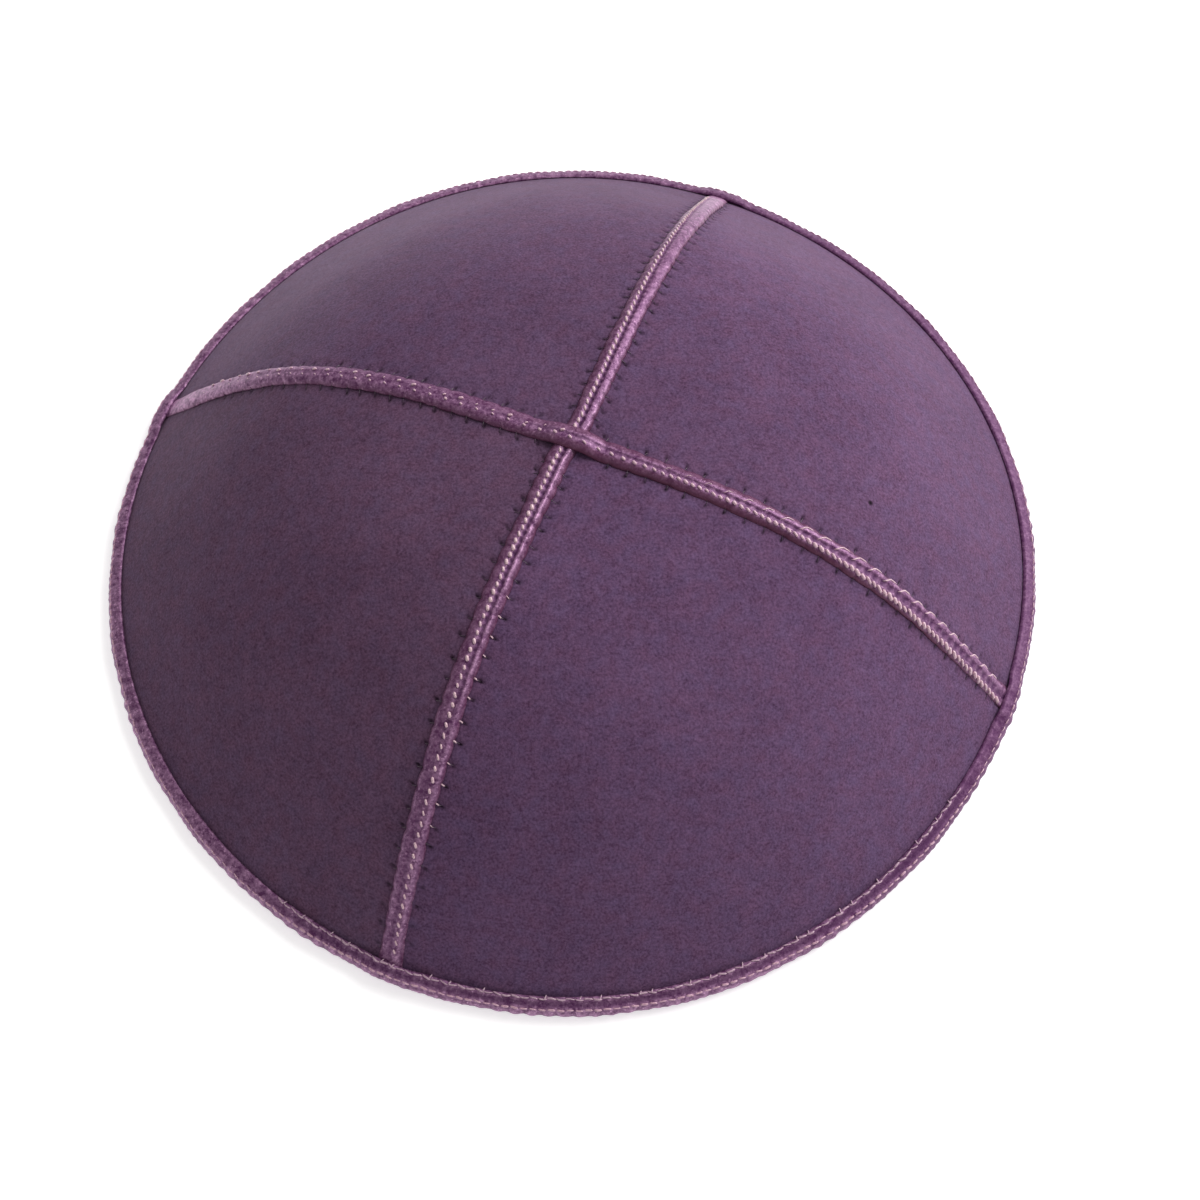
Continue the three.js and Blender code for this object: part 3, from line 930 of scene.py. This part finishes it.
def rim_hump(azimuth):
    """How far the outer leg is raised by the strips' ends."""
    lift = 0 * azimuth
    for seam in range(4):
        turned = np.mod(azimuth - seam_azimuth(seam, 1.0) + np.pi, 2 * np.pi) - np.pi
        lift = lift + hump_over(turned * RIM_RADIUS, END_LIFT)
    return lift


def twice_sewn(azimuth):
    """1 along the stretch of the rim that has a second row of thread, 0 elsewhere, with
    12 degrees between."""
    from_middle = np.cos(azimuth - np.radians(TWICE_SEWN["middle"]))
    ends = np.cos(np.radians([TWICE_SEWN["reach"] + 6, TWICE_SEWN["reach"] - 6]))
    return smoothstep(from_middle, *ends)


def binding_relief(azimuth, past, off):
    """How far the leather stands proud, how much painted shade it takes and how pale it is.
    It bulges in scallops of uneven phase and size, with a fold by the nose and, where it is
    sewn twice, a groove in the leg. The groove and the side towards the lamp take painted
    shade, and that side is less pale."""
    wander = 1.2 * np.sin(7 * azimuth) + 0.9 * np.sin(17 * azimuth + 1)
    size = 0.6 + 0.4 * np.sin(11 * azimuth + 0.5) + 0.3 * np.sin(29 * azimuth)
    wide, fine = (np.cos(count * azimuth + wander) for count in SCALLOPS)
    scallop = size * wide + (1 - size) * 0.6 * fine
    outside = smoothstep(off, -SUEDE, 0.4)
    twice = twice_sewn(azimuth)
    groove = twice * (0.2 + 0.05 * scallop) * np.exp(-(((past - RIM_GROOVE) / 0.5) ** 4))
    seat = twice * 0.06 * np.exp(-(((past - RIM_ROWS["upper"]) / 0.25) ** 2))
    fold = np.exp(-(((past - RIM_ROWS["lower"]) / 0.3) ** 2))
    bulge = 0.09 * scallop * smoothstep(past, -0.6, 0.6) + 0.03 * scallop
    slow = 0.06 * np.sin(23 * azimuth) + 0.05 * np.sin(41 * azimuth + 1)
    proud = (bulge + slow + 0.08 * fold - groove - seat) * outside
    # painted shade on the side towards the lamp, which also takes away some of the paleness
    lamp_side_shade = smoothstep(np.cos(azimuth - np.radians(PAINTED_SHADE_SIDE)), 0.1, 0.8)
    # painted shade in the twice-sewn groove and on the side towards the lamp
    hollow_shade = np.clip(0.45 * groove / 0.2 + 0.35 * lamp_side_shade, 0, 1) * outside
    nose = smoothstep(past, -0.1, 0.5) * smoothstep(off, -1.4, 0.2)
    # paleness: partly rubbed wear and partly painted highlight on the fold, the nose and the
    # scallops' crests
    ridge = 0.22 + 0.06 * (1 - twice) + 0.22 * fold + 0.12 * nose + 0.12 * scallop
    return proud, hollow_shade, np.clip(ridge * (1 - 0.6 * lamp_side_shade), 0, 1) * outside


# %% Make the binding
BINDING_STEP = 0.42


def rim_binding():
    """The section carried round the rim, each point moved by the relief along the
    section's own normal, which is (-d off, d past) made one long."""
    count = round(RIM_LENGTH / BINDING_STEP)
    azimuth = np.linspace(0, 2 * np.pi, count, endpoint=False)[:, None]
    past, off = HAIRPIN_PAST[None, :], HAIRPIN_OFF[None, :]
    along_past = np.roll(HAIRPIN_PAST, -1) - np.roll(HAIRPIN_PAST, 1)
    along_off = np.roll(HAIRPIN_OFF, -1) - np.roll(HAIRPIN_OFF, 1)
    length = np.hypot(along_past, along_off)
    shown = np.arange(len(HAIRPIN_PAST)) < len(HAIRPIN_PAST) - HIDDEN_POINTS
    proud, hollow_shade, ridge = binding_relief(azimuth, past, off)
    proud = proud * shown
    past = past - proud * (along_off / length)
    off = off + proud * (along_past / length)
    off = off + rim_hump(azimuth) * smoothstep(off, -SUEDE, 0.2) * shown
    rings = on_rim(azimuth + 0 * past, past, off)
    index = np.arange(rings[..., 0].size).reshape(rings.shape[:2])
    there = np.roll(index, -1, 0)
    walls = [index, there, np.roll(there, -1, 1), np.roll(index, -1, 1)]
    quads = np.stack(walls, -1).reshape(-1, 4)
    piece = fused("binding", rings.reshape(-1, 3), quads, numbers={"hollow_shade": hollow_shade, "ridge": ridge})
    return dressed(piece, trim, "trim_leather", "rim_binding")


rim_binding()

# %% [markdown]
# ## Stitches
# A stitch is a short length of thread that comes up out of one needle hole, lies over
# the leather and dives into the next. Hundreds of them are made at once: their paths are
# one array, and a ring of six points is set round every point of every path. The ring
# stands across the path, square to the direction away from the middle of the dome.

# %% Lay thread along many paths at once
THREAD_SIDES = 6
POINTS = 7  # along a stitch
DOME_MIDDLE = np.array([0, 0, -70.0])


def unit(vectors):
    return vectors / np.linalg.norm(vectors, axis=-1, keepdims=True)


def thread_rings(paths, radius):
    """Rings round paths[stitch, point]: radius * (cos a * side + sin a * up), drawn in
    towards both ends. The radius is one number or one for each stitch."""
    share = np.linspace(-1, 1, paths.shape[1])
    taper = np.sqrt(1 - 0.8 * share**6)
    size = np.broadcast_to(radius, len(paths))[:, None] * taper
    ahead = unit(np.gradient(paths, axis=1))
    away = unit(paths - DOME_MIDDLE)
    side = unit(np.cross(ahead, away))
    up = np.cross(side, ahead)
    turn = np.linspace(0, 2 * np.pi, THREAD_SIDES, endpoint=False)[None, None, :, None]
    ring = np.cos(turn) * side[:, :, None] + np.sin(turn) * up[:, :, None]
    return paths[:, :, None] + size[..., None, None] * ring


def arch(ends, middle):
    """From ends up to middle and down again, over a stitch's points, as 1 - share^4."""
    share = np.linspace(-1, 1, POINTS)
    return ends + (middle - ends) * (1 - share**4)


def on_strip(strip, along, across, off):
    """The point off the top of a strip, or off the suede beside it."""
    rise = strip_top(strip, along, across)[0] + strip_lift(strip, along)
    return over_seam(strip, along, across, rise + off)


# %% [markdown]
# ## Sewing the strips
# The beads follow the plan's bead row, each laid askew. On the upper strip's second half
# a stitch for each needle hole climbs aslant from the groove to the fold and runs on
# along it; on its first half there is only a bright speck for each hole. The legs run
# from a strip's edge to the needle holes. They are thread in painted shade, as dark as the
# holes, but for the short pale ones that show in one place, along the under strip's left edge.

# %% Rows of bright stitches
BEAD_LEAN = {"under": -0.5, "over": 0.5}  # how far a bead moves across for each mm along
SPECK_SPOTS = (-80, -3)  # where along the upper strip the specks are
SCROLL_SPOTS = (14, HOLE_RANGE[1] - 1)  # and the stitches that climb to the fold


def bead_rings(strip):
    """The bead row, from the plan's pitch, length and radius."""
    numbers = stitch_numbers(strip, "bead_pitch", -HOLE_RANGE[1] + 4, HOLE_RANGE[1] + 1)
    centre = stitch_place(strip, "bead_pitch", numbers)[:, None]
    share = np.linspace(-0.5, 0.5, POINTS)[None, :]
    length = stitching(strip, "bead_length", centre) * (1 + 0.12 * np.sin(3.1 * numbers))[:, None]
    along = centre + length * share
    across = stitching(strip, "bead", centre) + BEAD_LEAN[strip] * length * share
    across = across + 0.06 * np.sin(1.7 * numbers)[:, None]
    radius = stitching(strip, "bead_radius", centre[:, 0]) * (1 + 0.2 * np.sin(5.3 * numbers))
    paths = on_strip(strip, along, across, arch(-0.06, 0.1))
    return thread_rings(paths, radius * stitching(strip, "worked", centre[:, 0]) ** 0.5)


def speck_rings(strip, low, high):
    """Bright specks, one for each needle hole, where the fold would be."""
    numbers = stitch_numbers(strip, "hole_pitch", low, high)[:, None]
    share = np.linspace(-0.5, 0.5, POINTS)[None, :]
    size = 1 + 0.5 * np.sin(4.3 * numbers)
    along = stitch_place(strip, "hole_pitch", numbers + 0.5) + 0.5 * size * share
    across = stitching(strip, "ridge", along) - 0.3 * share + 0.2 * np.sin(3.7 * numbers)
    return thread_rings(on_strip(strip, along, across, arch(-0.04, 0.1)), 0.16 * size[:, 0])


def scroll_rings(strip, low, high):
    """Stitches that climb aslant from the groove to the fold and run on along it, one
    for each needle hole, growing bigger from low to high."""
    numbers = stitch_numbers(strip, "hole_pitch", low, high)[:, None]
    share = np.linspace(0, 1, POINTS)[None, :]
    size = 0.35 + 0.65 * smoothstep(stitch_place(strip, "hole_pitch", numbers), low, 55)
    along = stitch_place(strip, "hole_pitch", numbers) + size * (2.9 * share - 1.3)
    across = stitching(strip, "ridge", along) + size * (0.75 - 1.2 * smoothstep(share, 0, 0.55))
    return thread_rings(on_strip(strip, along, across, arch(-0.05, 0.06)), 0.14 * size[:, 0])


# %% Lay the legs, and sew the strips
PALE_SPOTS = (28, 72)  # where along the under strip the pale legs are
LEG_START = 1.85  # from a strip's middle to where its legs begin
PALE_LEGS = {"across": (LEG_START, 2.45), "radius": 0.13, "sink": 0.2}
DARK_LEGS = {"across": (LEG_START, None), "radius": 0.06, "sink": 0.35}


def leg_rings(strip, right, spots, across, radius, sink):
    """A leg for each needle hole in a range of places, from across[0] to across[1], or to
    the hole itself where that is None. Its end sinks by sink."""
    numbers = stitch_numbers(strip, "hole_pitch", *spots)[:, None]
    share = np.linspace(0, 1, POINTS)[None, :]
    place, hole = hole_place(strip, numbers, right)
    force = hole_force(strip, numbers, right, place)
    start = right * across[0]
    end = hole if across[1] is None else right * across[1]
    beside = start + (end - start) * share
    paths = on_strip(strip, place + 0.2 * (share - 1), beside, 0.05 - sink * share**4)
    return thread_rings(paths, radius * (0.3 + 0.7 * force[:, 0]))


def sew_strip(strip):
    """Two pieces for each strip: its bright stitches and its dark legs."""
    rings = [bead_rings(strip)]
    if strip == "over":
        rings.append(scroll_rings(strip, *SCROLL_SPOTS))
        rings.append(speck_rings(strip, *SPECK_SPOTS))
    else:
        rings.append(leg_rings(strip, -1, PALE_SPOTS, **PALE_LEGS))
    stitches = tubes(f"{strip}_stitches", np.concatenate(rings))
    dressed(stitches, {"under": pale_thread, "over": pink_thread}[strip], "thread")
    legs = []
    for side in (-1, 1):
        for spots in ((-HOLE_RANGE[1], -HOLE_RANGE[0]), HOLE_RANGE):
            legs.append(leg_rings(strip, side, spots, **DARK_LEGS))
    legs = tubes(f"{strip}_legs", np.concatenate(legs))
    # the legs take the thread in painted shade
    return dressed(legs, painted_shade_thread, "thread")


for strip in STRIPS:
    sew_strip(strip)


# %% Sew the binding
def rim_stitches(row, length, weave, radius):
    """A row of stitches round the rim. Its distance past the suede's edge weaves in and
    out, once for each of the tufts. Each stitch is a little thicker or thinner, and where
    the rim is sewn once the thread is finer."""
    number = np.arange(RIM_STITCHES)
    centre = (number * 2 * np.pi / RIM_STITCHES)[:, None]
    if row == "upper":
        sewn = twice_sewn(centre[:, 0]) > 0.5
        number, centre = number[sewn], centre[sewn]
    share = np.linspace(-0.5, 0.5, POINTS)[None, :]
    azimuth = centre + length / RIM_RADIUS * share
    past = RIM_ROWS[row] + weave * np.cos(RIM_TUFTS * azimuth) + 0.12 * share
    proud = binding_relief(azimuth, past, BINDING_THICK)[0]
    bed = leg_top(past) + proud + rim_hump(azimuth)
    thick = radius * (1 + 0.25 * np.sin(1.3 * number)) * (0.6 + 0.4 * twice_sewn(centre[:, 0]))
    return thread_rings(on_rim(azimuth, past, bed + arch(-0.06, 0.06)), thick)


def rim_tufts():
    """Short legs from the upper row down over the binding's edge into the suede."""
    number = np.arange(RIM_TUFTS)
    azimuth = number * 2 * np.pi / RIM_TUFTS + 0.6 * np.sin(2.7 * number) / RIM_RADIUS
    sewn = (twice_sewn(azimuth) > 0.5) & (np.sin(4.1 * number) > -0.4)
    number, azimuth = number[sewn], azimuth[sewn, None]
    share = np.linspace(0, 1, POINTS)[None, :]
    reach = (0.35 + 0.12 * np.sin(1.9 * number))[:, None]
    past = RIM_ROWS["upper"] - reach * share
    bed = np.interp(share, [0, 0.4, 1], [0.6, 0.4, -0.05]) + rim_hump(azimuth)
    return thread_rings(on_rim(azimuth + 0.3 / RIM_RADIUS * share, past, bed), 0.13)


def sew_binding():
    """The upper row with its tufts is one piece, and the lower row another."""
    upper = np.concatenate([rim_stitches("upper", 1.5, weave=0.08, radius=0.15), rim_tufts()])
    dressed(tubes("binding_stitches", upper), lilac_thread, "thread")
    lower = rim_stitches("lower", 1.2, weave=0.06, radius=0.17)
    dressed(tubes("binding_lower_stitches", lower), rose_thread, "thread")


sew_binding()

# %% [markdown]
# ## Floor and light
# The cap lies on a plain white surface. One broad lamp stands to the right and a little
# behind, as a window would, so the panels there are bright and the one in front to the
# left falls into its own shade. A dim warm sky fills the shadows. The floor glows by
# itself as well, so that it shows as plain white, with only a faint shadow on it.

# %% Set the stage
def floor():
    """A plain square, wide enough to fill every view."""
    half = 9000.0
    corners = np.array([[-half, -half, 0], [half, -half, 0], [half, half, 0], [-half, half, 0]])
    mesh = bpy.data.meshes.new("floor")
    mesh.from_pydata(corners * MM, [], [(0, 1, 2, 3)])
    surface = bpy.data.objects.new("floor", mesh)
    bpy.context.collection.objects.link(surface)
    white = {"Base Color": (0.9, 0.9, 0.9, 1), "Roughness": 0.8, "Emission Strength": 0.55}
    white["Emission Color"] = (1.0, 1.0, 1.0, 1)
    mesh.materials.append(finish("floor", white, lambda start: {}))


def lamp(name, azimuth, elevation, distance, size, power, colour):
    """A square lamp that faces the middle of the cap."""
    made = bpy.data.objects.new(name, bpy.data.lights.new(name, "AREA"))
    made.data.energy = power
    made.data.size = size * MM
    made.data.color = colour
    a, e = np.radians([azimuth, elevation])
    outward = Vector((np.cos(a) * np.cos(e), np.sin(a) * np.cos(e), np.sin(e)))
    made.location = outward * distance * MM
    made.rotation_euler = outward.to_track_quat("Z", "Y").to_euler()
    bpy.context.collection.objects.link(made)


floor()
lamp("window", 35, 38, distance=1100, size=850, power=13, colour=(1.0, 0.99, 0.99))

world = bpy.data.worlds.new("sky")
world.use_nodes = True
sky = world.node_tree.nodes["Background"].inputs
sky["Color"].default_value = (1.0, 0.985, 0.97, 1)
sky["Strength"].default_value = 0.38
bpy.context.scene.world = world
bpy.context.scene.view_settings.view_transform = "Standard"
